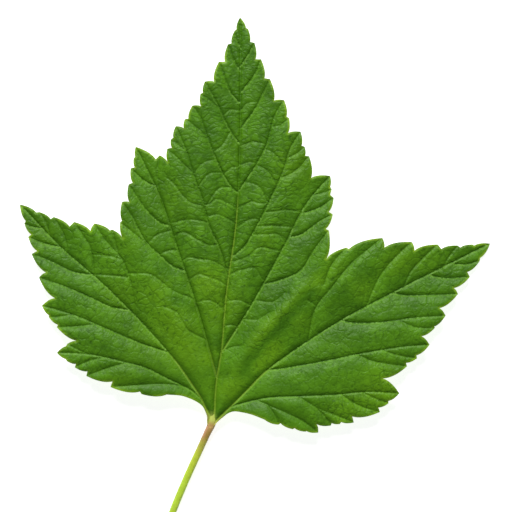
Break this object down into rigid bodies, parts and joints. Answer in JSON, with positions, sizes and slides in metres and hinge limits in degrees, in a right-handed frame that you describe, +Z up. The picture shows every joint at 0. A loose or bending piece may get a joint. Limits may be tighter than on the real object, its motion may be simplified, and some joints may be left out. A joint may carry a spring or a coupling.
{
  "type": "currant leaf",
  "caption": "Picked currant leaf: lobed, doubly toothed green blade with sunken veins, and its curved stalk, lying upper side up.",
  "frame": {"origin": "on the surface that the leaf lies on, under the middle of its bounding box", "axes": "+Z up, out of the blade's upper side; +Y from the stalk towards the point of the middle lobe; +X to the right, towards the larger side lobe"},
  "size_m": [0.094, 0.122, 0.0043],
  "materials": {
    "leaf_green": null
  },
  "bodies": {
    "root": {"leaf": "leaf_green"}
  },
  "joints": []
}
